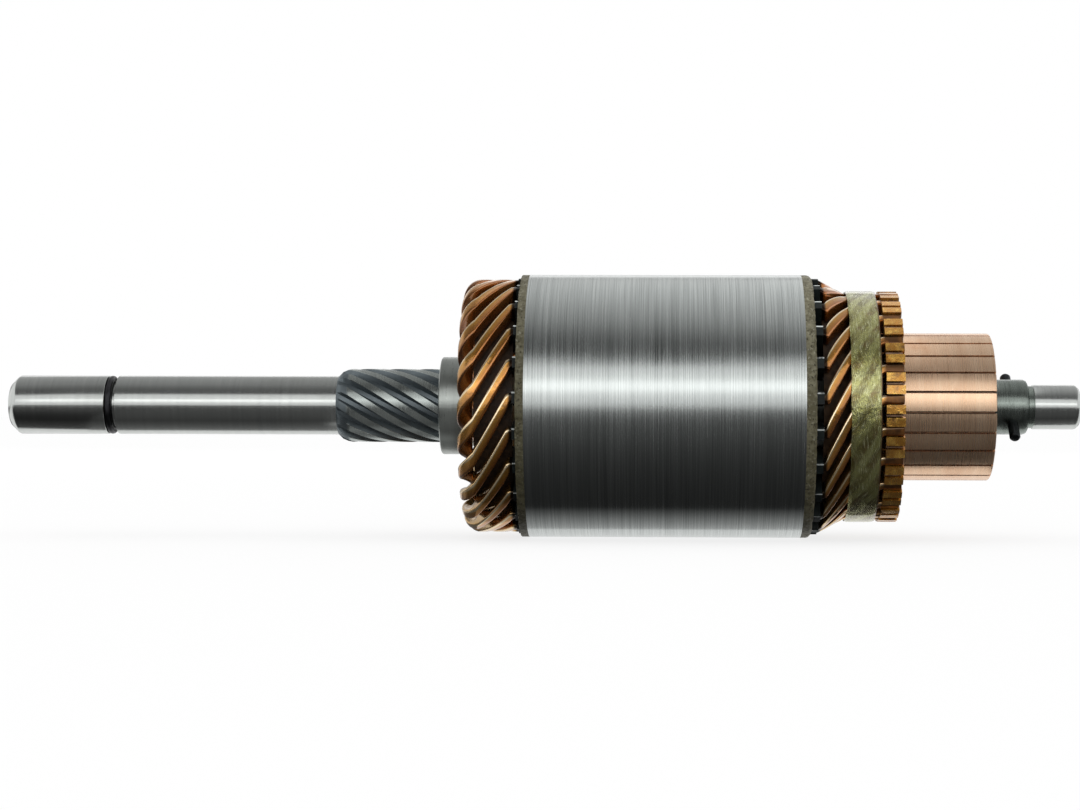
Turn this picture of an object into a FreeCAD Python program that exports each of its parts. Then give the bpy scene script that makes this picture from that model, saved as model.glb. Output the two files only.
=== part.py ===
import FreeCAD, Part
import math
import os
import re

import Sketcher
from FreeCAD import Placement, Rotation, Vector

# Armature of a direct-current starter motor, lying along X, in millimetres.
# The origin is the middle of the lamination stack on the shaft axis. -X is the drive end, +X the commutator end.

AXIS = Vector(1, 0, 0)

# Driving sizes, each written once
DRIVING = {
    "core_diameter": 78.0,
    "core_length": 80.1,
    "core_seat_diameter": 24.0,
    "slot_count": 23,
    "first_slot_angle": -3.5,
    "slot_bridge": 1.0,
    "press_play": 0.04,
    "slot_play": 0.05,
    "liner_thickness": 0.3,
    "drive_liner_tail": 0.9,
    "end_liner_tail": 2.0,
    "bar_width": 2.6,
    "bar_height": 4.4,
    "layer_gap": 0.7,
    "layer_sheet": 0.3,
    "drive_disc_thickness": 2.4,
    "end_disc_thickness": 3.0,
    "end_disc_corner": 1.2,
    "coil_span": 5,
    "commutator_span": 11,
    "coil_overhang": 16.85,
    "slot_bend_length": 1.4,
    "riser_bend_length": 3.0,
    "winding_drop": 4.0,
    "winding_drop_length": 7.5,
    "banding_distance": 9.75,
    "banding_width": 9.1,
    "banding_thickness": 0.75,
    "riser_distance": 1.0,
    "riser_width": 5.4,
    "riser_rim": 0.6,
    "riser_slot_play": 0.5,
    "commutator_diameter": 43.6,
    "brush_length": 27.5,
    "commutator_corner": 0.6,
    "segment_gap_angle": 2.0,
    "segment_root_diameter": 31.0,
    "segment_face_depth": 3.0,
    "hook_depth": 3.2,
    "hook_height": 1.5,
    "root_inset": 1.0,
    "mica_undercut": 0.6,
    "mica_thickness": 0.45,
    "hub_play": 0.08,
    "commutator_seat_diameter": 20.0,
    "seat_end_distance": 0.6,
    "drive_shaft_diameter": 17.4,
    "collar_distance": 26.35,
    "collar_diameter": 29.0,
    "collar_width": 8.4,
    "collar_corner": 0.5,
    "spline_diameter": 21.8,
    "spline_root_diameter": 18.2,
    "spline_length": 30.9,
    "spline_lead_in": 4.0,
    "spline_nose": 1.3,
    "spline_teeth": 12,
    "spline_lead": 107.0,
    "spline_groove_width": 5.8,
    "spline_root_width": 2.8,
    "drive_shaft_length": 98.2,
    "tip_diameter": 12.4,
    "tip_chamfer": 2.6,
    "groove_distance": 29.1,
    "groove_width": 3.1,
    "groove_diameter": 13.5,
    "ring_wire": 1.9,
    "ring_opening_angle": 16.0,
    "end_shaft_diameter": 16.3,
    "end_shaft_length": 11.35,
    "shoulder_chamfer": 1.0,
    "relief_diameter": 12.5,
    "relief_width": 1.6,
    "journal_diameter": 13.1,
    "journal_length": 12.35,
    "journal_chamfer": 1.5,
    "centre_hole_diameter": 4.0,
    "centre_hole_depth": 3.0,
    "centre_drill_diameter": 1.2,
    "pin_diameter": 3.2,
    "pin_length": 29.0,
    "pin_distance": 6.6,
    "pin_angle": 39.5,
}

# Places and radii that follow from the driving sizes
DERIVED = {
    "slot_pitch": "360 / slot_count",
    "half_core": "core_length / 2",
    "liner_top": "core_diameter / 2 - slot_bridge - slot_play",
    "bar_top": "liner_top - liner_thickness - slot_play",
    "outer_bar": "bar_top - bar_height / 2",
    "inner_bar": "outer_bar - bar_height - layer_gap",
    "liner_bottom": "inner_bar - bar_height / 2 - slot_play - liner_thickness",
    "liner_width": "bar_width + 2 * slot_play + 2 * liner_thickness",
    "drive_face": "half_core + drive_disc_thickness",
    "end_face": "half_core + end_disc_thickness",
    "drive_bend": "drive_face + drive_liner_tail + layer_sheet / 2",
    "end_bend": "end_face + end_liner_tail + layer_sheet / 2",
    "nose_tip": "drive_face + coil_overhang",
    "nose_radius": "(outer_bar - inner_bar) / 2",
    "nose_start": "nose_tip - nose_radius - bar_height / 2",
    "banding_start": "end_face + banding_distance",
    "banding_end": "banding_start + banding_width",
    "banding_radius": "bar_top - winding_drop + 2 * slot_play",
    "riser_start": "banding_end + riser_distance",
    "riser_end": "riser_start + riser_width",
    "riser_radius": "bar_top - winding_drop + riser_rim",
    "riser_slot_bottom": "inner_bar - bar_height / 2 - winding_drop - 2 * slot_play",
    "brush_end": "riser_end + brush_length",
    "brush_radius": "commutator_diameter / 2",
    "root_radius": "segment_root_diameter / 2",
    "face_radius": "brush_radius - segment_face_depth",
    "hook_radius": "root_radius + hook_height",
    "half_wedge": "(slot_pitch - segment_gap_angle) / 2",
    "corner_ratio": "1 / cos(slot_pitch / 2 * 1deg)",
    "wedge_rise": "commutator_diameter * tan(half_wedge * 1deg)",
    "seat_end": "brush_end + seat_end_distance",
    "collar_start": "half_core + collar_distance",
    "collar_end": "collar_start - collar_width",
    "spline_start": "collar_start + spline_length",
    "drive_tip": "spline_start + drive_shaft_length",
    "groove_start": "drive_tip - groove_distance",
    "groove_end": "groove_start - groove_width",
    "groove_twist_start": "spline_start + spline_groove_width / 2 + press_play",
    "groove_twist_length": "groove_twist_start - collar_start + spline_groove_width / 2 + collar_corner",
    "shoulder": "brush_end + end_shaft_length",
    "journal_start": "shoulder + relief_width",
    "journal_end": "journal_start + journal_length + journal_chamfer",
    "pin_place": "brush_end + pin_distance",
}

doc = FreeCAD.newDocument("armature")
sheet = doc.addObject("Spreadsheet::Sheet", "Sizes")


def bound(text):
    """an expression on the sheet, from the plain names of its sizes"""
    return re.sub(r"\b([a-z]\w*)\b", r"Sizes.\1", text)


def fill_sheet():
    """one row for each size: its name, then its value under an alias"""
    rows = list(DRIVING.items()) + [(name, "=" + text) for name, text in DERIVED.items()]
    for row, (name, value) in enumerate(rows, 1):
        sheet.set(f"A{row}", name)
        sheet.set(f"B{row}", str(value))
        sheet.setAlias(f"B{row}", name)
    doc.recompute()


def size(text):
    """the value of a size, or of a sum of sizes"""
    return float(sheet.evalExpression(text))


# Helpers for bodies, sketches and features


def new_body(name):
    body = doc.addObject("PartDesign::Body", name)
    body.Label = name
    return body


def new_sketch(body, name, role):
    """a sketch on one of the body's own origin planes"""
    sketch = body.newObject("Sketcher::SketchObject", name)
    plane = [item for item in body.Origin.OriginFeatures if item.Role == role][0]
    sketch.AttachmentSupport = (plane, "")
    sketch.MapMode = "FlatFace"
    return sketch


def pin_point(sketch, geometry, vertex, across, up):
    """ties one point of the sketch to the sheet, measured from the sketch's origin"""
    for kind, text in (("DistanceX", across), ("DistanceY", up)):
        index = sketch.addConstraint(Sketcher.Constraint(kind, -1, 1, geometry, vertex, size(text)))
        sketch.setExpression(f"Constraints[{index}]", bound(text))


def outline(sketch, points):
    """a closed outline of straight edges whose corners are sums of sizes"""
    corners = [Vector(size(across), size(up), 0) for across, up in points]
    count = len(corners)
    for i in range(count):
        sketch.addGeometry(Part.LineSegment(corners[i], corners[(i + 1) % count]), False)
    for i in range(count):
        sketch.addConstraint(Sketcher.Constraint("Coincident", i, 2, (i + 1) % count, 1))
    for i, (across, up) in enumerate(points):
        pin_point(sketch, i, 1, across, up)


def circle(sketch, across, up, diameter):
    centre = Vector(size(across), size(up), 0)
    index = sketch.addGeometry(Part.Circle(centre, Vector(0, 0, 1), size(diameter) / 2), False)
    pin_point(sketch, index, 3, across, up)
    held = sketch.addConstraint(Sketcher.Constraint("Diameter", index, size(diameter)))
    sketch.setExpression(f"Constraints[{held}]", bound(diameter))


def revolve(body, sketch, name, angle="360", cut=False, middle=False):
    """turns the sketch about its horizontal axis, which is the shaft axis"""
    doc.recompute()
    kind = "PartDesign::Groove" if cut else "PartDesign::Revolution"
    feature = body.newObject(kind, name)
    feature.Profile = sketch
    feature.ReferenceAxis = (sketch, ["H_Axis"])
    feature.Midplane = middle
    feature.setExpression("Angle", bound(angle))
    doc.recompute()
    return feature


def extrude(body, sketch, name, length, cut=False, middle=True):
    doc.recompute()
    feature = body.newObject("PartDesign::Pocket" if cut else "PartDesign::Pad", name)
    feature.Profile = sketch
    feature.Midplane = middle
    feature.setExpression("Length", bound(length))
    doc.recompute()
    return feature


def around(body, feature, sketch, axis, count, name):
    """repeats a feature evenly round the shaft axis"""
    pattern = body.newObject("PartDesign::PolarPattern", name)
    pattern.Originals = [feature]
    pattern.Axis = (sketch, [axis])
    pattern.Angle = 360
    pattern.setExpression("Occurrences", bound(count))
    body.Tip = pattern
    doc.recompute()
    return pattern


def faceted_solid(rings, cyclic=False):
    """a solid of flat facets through rings of corners; a cyclic one closes on its first ring, as a tube does"""
    faces = []
    if cyclic:
        pairs = zip(rings, rings[1:] + rings[:1])
    else:
        pairs = zip(rings, rings[1:])
        faces += [Part.Face(Part.makePolygon(ring + ring[:1])) for ring in (rings[0], rings[-1])]
    for near, far in pairs:
        for i in range(len(near)):
            j = (i + 1) % len(near)
            for corners in ((near[i], near[j], far[j]), (near[i], far[j], far[i])):
                faces.append(Part.Face(Part.makePolygon([*corners, corners[0]])))
    solid = Part.makeSolid(Part.makeShell(faces))
    if solid.Volume < 0:
        solid.reverse()
    return solid


def flat_ring(x, radius, sides, first_angle):
    """corners of a regular polygon about the shaft, below which zero degrees lies"""
    corners = []
    for side in range(sides):
        angle = first_angle + 2 * math.pi * side / sides
        corners.append(Vector(x, -radius * math.cos(angle), -radius * math.sin(angle)))
    return corners


def slot_place(index):
    """the turn about the shaft that brings a piece to its slot"""
    return Placement(Vector(), Rotation(AXIS, size("first_slot_angle") + index * size("slot_pitch")))


# Shaft, turned from bar, with a helical spline for the drive


def build_shaft():
    body = new_body("shaft")
    blank = new_sketch(body, "shaft_profile", "XZ_Plane")
    tip = "-drive_tip"
    outline(blank, [
        (tip + " + centre_hole_depth", "0"),
        (tip + " + centre_hole_depth", "centre_drill_diameter / 2"),
        (tip, "centre_hole_diameter / 2"),
        (tip, "tip_diameter / 2"),
        (tip + " + tip_chamfer", "drive_shaft_diameter / 2"),
        ("-groove_start", "drive_shaft_diameter / 2"),
        ("-groove_start", "groove_diameter / 2"),
        ("-groove_end", "groove_diameter / 2"),
        ("-groove_end", "drive_shaft_diameter / 2"),
        ("-spline_start", "drive_shaft_diameter / 2"),
        ("-spline_start + spline_nose", "drive_shaft_diameter / 2 + spline_nose"),
        ("-spline_start + spline_lead_in", "spline_diameter / 2"),
        ("-collar_end", "spline_diameter / 2"),
        ("-collar_end", "core_seat_diameter / 2"),
        ("riser_start", "core_seat_diameter / 2"),
        ("riser_start", "commutator_seat_diameter / 2"),
        ("seat_end", "commutator_seat_diameter / 2"),
        ("seat_end", "end_shaft_diameter / 2"),
        ("shoulder - shoulder_chamfer", "end_shaft_diameter / 2"),
        ("shoulder", "end_shaft_diameter / 2 - shoulder_chamfer"),
        ("shoulder", "relief_diameter / 2"),
        ("journal_start", "relief_diameter / 2"),
        ("journal_start", "journal_diameter / 2"),
        ("journal_end - journal_chamfer", "journal_diameter / 2"),
        ("journal_end", "journal_diameter / 2 - journal_chamfer"),
        ("journal_end", "centre_hole_diameter / 2"),
        ("journal_end - centre_hole_depth", "centre_drill_diameter / 2"),
        ("journal_end - centre_hole_depth", "0"),
    ])
    revolve(body, blank, "shaft_blank")
    groove = new_sketch(body, "spline_groove_profile", "XZ_Plane")
    start = "-groove_twist_start"
    above = "spline_diameter / 2 + collar_corner"
    outline(groove, [
        (start + " - spline_groove_width / 2", above),
        (start + " - spline_root_width / 2", "spline_root_diameter / 2"),
        (start + " + spline_root_width / 2", "spline_root_diameter / 2"),
        (start + " + spline_groove_width / 2", above),
    ])
    doc.recompute()
    helix = body.newObject("PartDesign::SubtractiveHelix", "spline_groove")
    helix.Profile = groove
    helix.ReferenceAxis = (groove, ["H_Axis"])
    helix.Mode = 0
    helix.LeftHanded = False
    helix.setExpression("Pitch", bound("spline_lead"))
    helix.setExpression("Height", bound("groove_twist_length"))
    doc.recompute()
    around(body, helix, groove, "H_Axis", "spline_teeth", "spline_teeth")
    collar = new_sketch(body, "collar_profile", "XZ_Plane")
    outline(collar, [
        ("-collar_start", "0"),
        ("-collar_start", "collar_diameter / 2 - collar_corner"),
        ("-collar_start + collar_corner", "collar_diameter / 2"),
        ("-collar_end", "collar_diameter / 2"),
        ("-collar_end", "0"),
    ])
    revolve(body, collar, "collar")
    hole = new_sketch(body, "pin_hole_profile", "XZ_Plane")
    hole.setExpression("AttachmentOffset.Rotation.Angle", bound("pin_angle"))
    hole.AttachmentOffset = Placement(Vector(), Rotation(AXIS, size("pin_angle")))
    circle(hole, "pin_place", "0", "pin_diameter + 2 * press_play")
    extrude(body, hole, "pin_hole", "pin_length", cut=True)
    return body


def build_cross_pin():
    """straight pin through the shaft behind the commutator"""
    pin = doc.addObject("Part::Cylinder", "cross_pin")
    pin.setExpression("Radius", bound("pin_diameter / 2"))
    pin.setExpression("Height", bound("pin_length"))
    turn = Rotation(AXIS, 90 + size("pin_angle"))
    middle = turn.multVec(Vector(0, 0, size("pin_length / 2")))
    pin.Placement = Placement(Vector(size("pin_place"), 0, 0) - middle, turn)
    return pin


def build_stop_ring():
    """sprung wire ring in its groove, open at the back"""
    body = new_body("stop_ring")
    profile = new_sketch(body, "wire_profile", "XZ_Plane")
    left = "-groove_start + slot_play"
    low = "groove_diameter / 2 + slot_play"
    outline(profile, [
        (left, low),
        (left, low + " + ring_wire"),
        (left + " + ring_wire", low + " + ring_wire"),
        (left + " + ring_wire", low),
    ])
    revolve(body, profile, "ring", "360 - ring_opening_angle", middle=True)
    body.Placement = Placement(Vector(), Rotation(AXIS, 90))
    return body


# Core, end discs and slot liners


def slotted_disc(name, start, length, corner=None):
    """a round blank with a bore for the shaft and a ring of closed slots"""
    body = new_body(name)
    profile = new_sketch(body, name + "_profile", "XZ_Plane")
    bore = "core_seat_diameter / 2 + press_play"
    end = f"{start} + {length}"
    top = "core_diameter / 2"
    if corner:
        rim = [(f"{end} - {corner}", top), (end, f"{top} - {corner}")]
    else:
        rim = [(end, top)]
    outline(profile, [(start, bore), (start, top)] + rim + [(end, bore)])
    revolve(body, profile, name + "_blank")
    window = new_sketch(body, name + "_slot_profile", "XY_Plane")
    outline(window, [
        (start + " - end_liner_tail", "-liner_top - slot_play"),
        (end + " + end_liner_tail", "-liner_top - slot_play"),
        (end + " + end_liner_tail", "-liner_bottom + slot_play"),
        (start + " - end_liner_tail", "-liner_bottom + slot_play"),
    ])
    slot = extrude(body, window, name + "_slot", "liner_width + 2 * slot_play", cut=True)
    around(body, slot, window, "H_Axis", "slot_count", name + "_slots")
    body.Placement = slot_place(0)
    body.setExpression("Placement.Rotation.Angle", bound("first_slot_angle"))
    return body


def build_slot_liners():
    """folded paper sleeves, one in each slot, kept together as one node"""
    start = -size("drive_face + drive_liner_tail")
    length = size("end_face + end_liner_tail") - start
    thickness = size("liner_thickness")
    top = size("liner_top")
    height = top - size("liner_bottom")
    width = size("liner_width")
    outer = Part.makeBox(length, height, width, Vector(start, -top, -width / 2))
    inner = Part.makeBox(
        length, height - 2 * thickness, width - 2 * thickness,
        Vector(start, -top + thickness, -width / 2 + thickness),
    )
    sleeve = outer.cut(inner)
    sleeves = []
    for index in range(int(size("slot_count"))):
        copy = sleeve.copy()
        copy.Placement = slot_place(index)
        sleeves.append(copy)
    liners = doc.addObject("Part::Feature", "slot_liners")
    liners.Shape = Part.makeCompound(sleeves)
    return liners


# Hairpin winding, one copper bar bent twice for each slot


def turn_profile(distance, total, bend, end_bend):
    """share of the whole turn, and its rate, after a distance: an easy start, a steady slope, an easy end"""
    steady = 1 / (total - bend / 2 - end_bend / 2)
    if distance < bend:
        return steady * distance ** 2 / (2 * bend), steady * distance / bend
    if distance > total - end_bend:
        left = total - distance
        return 1 - steady * left ** 2 / (2 * end_bend), steady * left / end_bend
    return steady * (distance - bend / 2), steady


def commutator_arm(radius, slot_angle, turn):
    """stations from the slot's mouth to the end of the riser"""
    start = size("end_bend")
    total = size("riser_start") - start
    bend = size("slot_bend_length")
    end_bend = size("riser_bend_length")
    drop_length = size("winding_drop_length")
    places = [0, bend / 2, bend, (bend + drop_length) / 2, drop_length]
    places += [(drop_length + total - end_bend) / 2, total - end_bend, total - end_bend / 2, total]
    arm = []
    for distance in places:
        share, rate = turn_profile(distance, total, bend, end_bend)
        drop = size("winding_drop") * min(distance / drop_length, 1)
        arm.append((start + distance, radius - drop, slot_angle + turn * share, 1, 0, turn * rate))
    arm.append((size("riser_end"), radius - size("winding_drop"), slot_angle + turn, 1, 0, 0))
    return arm


def drive_arm(radius, turn):
    """stations from the slot's mouth to where the nose begins"""
    start = size("drive_bend")
    total = size("nose_start") - start
    bend = size("slot_bend_length")
    steps = 2
    places = [0, bend / 2, bend]
    places += [bend + (total - bend) * step / steps for step in range(1, steps)]
    whole = total + math.pi * size("nose_radius") / 2
    arm = []
    for distance in places:
        share, rate = turn_profile(distance, whole, bend, 0)
        arm.append((-start - distance, radius, turn * share, -1, 0, turn * rate))
    return arm


def nose_stations(turn):
    """the half turn over which the bar passes from the outer layer to the inner one"""
    start = size("nose_start")
    radius = size("nose_radius")
    middle = (size("outer_bar") + size("inner_bar")) / 2
    total = start - size("drive_bend")
    whole = total + math.pi * radius / 2
    share, rate = turn_profile(total, whole, size("slot_bend_length"), 0)
    steps = 6
    nose = []
    for step in range(steps + 1):
        bow = math.pi * step / steps
        place = turn + (turn - turn * share) * (2 * step / steps - 1)
        x = -start - radius * math.sin(bow)
        nose.append((x, middle + radius * math.cos(bow), place, -math.cos(bow), -math.sin(bow), turn * rate))
    return nose


def bar_section(station):
    """corners of the bar in the plane that holds the tangent there, wider where the bar runs aslant"""
    x, radius, angle, along, outward, around_rate = station
    spoke = Vector(0, -math.cos(angle), -math.sin(angle))
    tangent = Vector(0, math.sin(angle), -math.cos(angle))
    height = (spoke * along - AXIS * outward).normalize()
    middle = AXIS * x + spoke * radius
    slant = math.hypot(1, around_rate * radius)
    half_width = tangent * (size("bar_width") / 2 * slant)
    half_height = height * (size("bar_height") / 2)
    return [
        middle - half_width - half_height,
        middle + half_width - half_height,
        middle + half_width + half_height,
        middle - half_width + half_height,
    ]


def reversed_way(stations):
    """the same stations travelled the other way"""
    return [(x, r, a, -along, -outward, -rate) for x, r, a, along, outward, rate in reversed(stations)]


def hairpin_shape():
    """outer riser, outer slot leg, nose, inner slot leg, inner riser"""
    pitch = math.radians(size("slot_pitch"))
    span = size("coil_span") * pitch
    lead = (size("commutator_span") - size("coil_span")) / 2 * pitch
    outer = size("outer_bar")
    inner = size("inner_bar")
    route = reversed_way(commutator_arm(outer, 0, -lead))
    outward_arm = drive_arm(outer, span / 2)
    route += outward_arm
    route += nose_stations(span / 2)
    route += [(x, inner, span - angle, 1, 0, rate) for x, _, angle, _, _, rate in reversed(outward_arm)]
    route += commutator_arm(inner, span, lead)
    return faceted_solid([bar_section(station) for station in route])


def build_hairpins():
    shape = hairpin_shape()
    hairpins = []
    for index in range(int(size("slot_count"))):
        hairpin = doc.addObject("Part::Feature", f"hairpin_{index + 1:02d}")
        hairpin.Shape = shape
        hairpin.Placement = slot_place(index)
        hairpins.append(hairpin)
    return hairpins


def sleeve(name, points):
    """a thin turned sleeve about the shaft"""
    body = new_body(name)
    profile = new_sketch(body, name + "_profile", "XZ_Plane")
    outline(profile, points)
    revolve(body, profile, name + "_wall")
    return body


def paper_wrap(name, stations):
    """paper wrapped over the bars: it lies in flats, two to each slot pitch, through (x, inner radius)"""
    sides = 2 * int(size("slot_count"))
    thickness = size("layer_sheet")
    outside = [flat_ring(x, radius + thickness, sides, 0) for x, radius in stations]
    inside = [flat_ring(x, radius, sides, 0) for x, radius in reversed(stations)]
    wrap = doc.addObject("Part::Feature", name)
    wrap.Shape = faceted_solid(outside + inside, cyclic=True)
    return wrap


def build_drive_wrap():
    """paper between the two layers of arms at the drive end"""
    low = size("outer_bar - bar_height / 2 - layer_gap / 2 - layer_sheet / 2")
    return paper_wrap("drive_end_layer_insulation", [(-size("nose_start"), low), (-size("drive_bend"), low)])


def build_end_wrap():
    """paper between the layers at the commutator end, following them down to the risers"""
    low = size("outer_bar - bar_height / 2 - layer_gap / 2 - layer_sheet / 2")
    down = low - size("winding_drop")
    return paper_wrap("commutator_end_layer_insulation", [
        (size("end_bend"), low),
        (size("end_bend + winding_drop_length"), down),
        (size("riser_start - riser_distance / 2"), down),
    ])


def build_banding():
    """resin-filled glass band wound over the arms beside the risers"""
    return sleeve("coil_banding", [
        ("banding_start", "banding_radius"),
        ("banding_start", "banding_radius + banding_thickness"),
        ("banding_end", "banding_radius + banding_thickness"),
        ("banding_end", "banding_radius"),
    ])


# Commutator: copper segments hooked into a moulded hub, with mica between them


def hooked_root(left, right, play):
    """corners of the root and the hooks from one end face to the other, shared by copper and hub"""
    face = "face_radius - " + play
    hook = "hook_radius + " + play
    root = "root_radius - " + play
    deep = "hook_depth - " + play
    inset = "root_inset - " + play
    return [
        (right, face),
        (f"{right} - ({deep})", face),
        (f"{right} - ({deep})", hook),
        (f"{right} - ({inset})", hook),
        (f"{right} - ({inset})", root),
        (f"{left} + ({inset})", root),
        (f"{left} + ({inset})", hook),
        (f"{left} + ({deep})", hook),
        (f"{left} + ({deep})", face),
        (left, face),
    ]


def mirrored(points):
    """the same outline below the shaft axis"""
    return [(across, "-(" + up + ")") for across, up in points]


def build_segments():
    """bars cut from flat copper to a wedge, then turned to their outer faces"""
    body = new_body("commutator_segment_01")
    profile = new_sketch(body, "segment_profile", "XY_Plane")
    blank_top = "riser_radius + riser_rim"
    step = "brush_radius + mica_undercut"
    outline(profile, mirrored([
        ("riser_start", blank_top),
        ("riser_end", blank_top),
        ("riser_end", step),
        ("brush_end", step),
    ] + hooked_root("riser_start", "brush_end", "0")))
    extrude(body, profile, "segment_blank", "brush_radius")
    flanks = new_sketch(body, "wedge_profile", "YZ_Plane")
    reach = "commutator_diameter"
    outline(flanks, [
        ("0", "0"),
        (f"-{reach}", "wedge_rise"),
        (f"-{reach}", reach),
        (reach, reach),
        (reach, f"-{reach}"),
        (f"-{reach}", f"-{reach}"),
        (f"-{reach}", "-wedge_rise"),
    ])
    extrude(body, flanks, "wedge_sides", "4 * brush_end", cut=True)
    turning = new_sketch(body, "turning_profile", "XY_Plane")
    outline(turning, mirrored([
        ("riser_start - riser_distance", "riser_radius"),
        ("riser_end", "riser_radius"),
        ("riser_end", "brush_radius"),
        ("brush_end - commutator_corner", "brush_radius"),
        ("brush_end", "brush_radius - commutator_corner"),
        ("brush_end + riser_distance", "brush_radius - commutator_corner"),
        ("brush_end + riser_distance", "2 * riser_radius"),
        ("riser_start - riser_distance", "2 * riser_radius"),
    ]))
    revolve(body, turning, "turned_faces", cut=True)
    window = new_sketch(body, "riser_slot_profile", "XY_Plane")
    outline(window, mirrored([
        ("riser_start - riser_distance", "riser_radius + riser_rim"),
        ("riser_end + riser_distance", "riser_radius + riser_rim"),
        ("riser_end + riser_distance", "riser_slot_bottom"),
        ("riser_start - riser_distance", "riser_slot_bottom"),
    ]))
    extrude(body, window, "riser_slot", "bar_width + riser_slot_play", cut=True)
    body.Placement = slot_place(0)
    body.setExpression("Placement.Rotation.Angle", bound("first_slot_angle"))
    segments = [body]
    for index in range(1, int(size("slot_count"))):
        segment = doc.addObject("Part::Feature", f"commutator_segment_{index + 1:02d}")
        shape = body.Shape.copy()
        shape.Placement = Placement()
        segment.Shape = shape
        segment.Placement = slot_place(index)
        segments.append(segment)
    return segments


def build_hub():
    """moulded hub: flat under each segment, with lips that hook into both ends of them"""
    count = int(size("slot_count"))
    half = size("slot_pitch") / 2
    rings = []
    for across, up in hooked_root("riser_start", "brush_end", "hub_play"):
        rings.append(flat_ring(size(across), size(up) * size("corner_ratio"), count, math.radians(half)))
    left = size("riser_start")
    right = size("brush_end")
    bore = Part.makeCylinder(
        size("commutator_seat_diameter / 2 + press_play"), 2 * (right - left),
        Vector(left - (right - left) / 2, 0, 0), AXIS,
    )
    hub = doc.addObject("Part::Feature", "commutator_hub")
    hub.Shape = faceted_solid(rings).cut(bore)
    hub.Placement = slot_place(0)
    return hub


def build_mica():
    """a thin sheet in each gap between segments, cut back below the copper"""
    low = size("root_radius * corner_ratio")
    lip = size("face_radius * corner_ratio")
    inset = size("hook_depth + hub_play")
    left = size("riser_start")
    right = size("brush_end - mica_undercut")
    step = size("riser_end - mica_undercut")
    riser_top = size("riser_radius - mica_undercut")
    brush_top = size("brush_radius - mica_undercut")
    thickness = size("mica_thickness")
    corners = [
        (left, lip), (left, riser_top), (step, riser_top), (step, brush_top), (right, brush_top),
        (right, lip), (size("brush_end") - inset, lip), (size("brush_end") - inset, low),
        (left + inset, low), (left + inset, lip),
    ]
    ring = [Vector(x, -radius, -thickness / 2) for x, radius in corners]
    plate = Part.Face(Part.makePolygon(ring + ring[:1])).extrude(Vector(0, 0, thickness))
    plates = []
    for index in range(int(size("slot_count"))):
        copy = plate.copy()
        copy.Placement = slot_place(index + 0.5)
        plates.append(copy)
    mica = doc.addObject("Part::Feature", "mica_separators")
    mica.Shape = Part.makeCompound(plates)
    return mica


def check(part):
    if part.State and any(word in ("Invalid", "Error") for word in part.State):
        raise RuntimeError(f"{part.Label} is {part.State}")
    shape = getattr(part, "Shape", None)
    if shape is not None and not part.isDerivedFrom("App::OriginFeature"):
        if shape.isNull() or not shape.isValid():
            raise RuntimeError(f"{part.Label} has no valid shape")


fill_sheet()
parts = [
    build_shaft(),
    build_cross_pin(),
    build_stop_ring(),
    slotted_disc("lamination_stack", "-half_core", "core_length"),
    slotted_disc("drive_end_disc", "-drive_face", "drive_disc_thickness"),
    slotted_disc("commutator_end_disc", "half_core", "end_disc_thickness", "end_disc_corner"),
    build_slot_liners(),
    *build_hairpins(),
    build_drive_wrap(),
    build_end_wrap(),
    build_banding(),
    *build_segments(),
    build_hub(),
    build_mica(),
]
doc.recompute()
for item in doc.Objects:
    check(item)
os.makedirs("parts", exist_ok=True)
for part in parts:
    part.Shape.exportStep(f"parts/{part.Label}.step")
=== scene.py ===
import math

import bpy
from mathutils import Matrix, Vector, noise


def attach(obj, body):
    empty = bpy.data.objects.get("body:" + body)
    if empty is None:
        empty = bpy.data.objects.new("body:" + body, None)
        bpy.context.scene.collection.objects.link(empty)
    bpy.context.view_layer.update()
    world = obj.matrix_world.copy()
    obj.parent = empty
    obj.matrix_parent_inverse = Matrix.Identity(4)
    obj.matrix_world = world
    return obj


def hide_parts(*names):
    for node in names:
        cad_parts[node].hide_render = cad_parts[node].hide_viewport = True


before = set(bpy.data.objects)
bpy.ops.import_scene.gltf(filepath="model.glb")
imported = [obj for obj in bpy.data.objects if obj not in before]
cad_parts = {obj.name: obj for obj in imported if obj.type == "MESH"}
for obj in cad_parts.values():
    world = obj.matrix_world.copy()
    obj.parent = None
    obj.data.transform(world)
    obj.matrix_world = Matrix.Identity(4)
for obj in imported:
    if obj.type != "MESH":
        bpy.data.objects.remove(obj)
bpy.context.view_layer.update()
MM = 0.001

# Camera
# A long lens level with the shaft, 714 mm in front of it and square to the core's commutator half.
# It turns a little towards the drive end, and the shift frames the rest.
CAMERA_PLACE = Vector((1.2, -714, 0.3)) * MM
CAMERA_TURN = 1.54
CAMERA_ROLL = 0.15
lens = bpy.data.cameras.new("camera")
lens.sensor_width = 36
lens.lens = 79.83
lens.shift_x = -0.0598
lens.clip_start = 0.05
lens.clip_end = 50
camera = bpy.data.objects.new("camera", lens)
bpy.context.scene.collection.objects.link(camera)
camera.matrix_world = (
    Matrix.Translation(CAMERA_PLACE)
    @ Matrix.Rotation(math.radians(CAMERA_TURN), 4, "Z")
    @ Matrix.Rotation(math.radians(90), 4, "X")
    @ Matrix.Rotation(math.radians(CAMERA_ROLL), 4, "Z")
)
bpy.context.scene.camera = camera

# Studio
# White surroundings lit from above, a pale table, a strip softbox in front and a weaker one behind,
# and grey cards that only reflections see: they give the turned metal its bands.
bpy.context.scene.view_settings.view_transform = "Standard"


def link_or_set(tree, socket, value):
    if isinstance(value, bpy.types.NodeSocket):
        tree.links.new(value, socket)
    else:
        socket.default_value = value


def node(tree, kind, inputs=None, **settings):
    """adds a shader or geometry node; inputs are values, or sockets to link from"""
    made = tree.nodes.new(kind)
    for name, value in settings.items():
        setattr(made, name, value)
    for key, value in (inputs or {}).items():
        link_or_set(tree, made.inputs[key], value)
    return made


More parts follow.
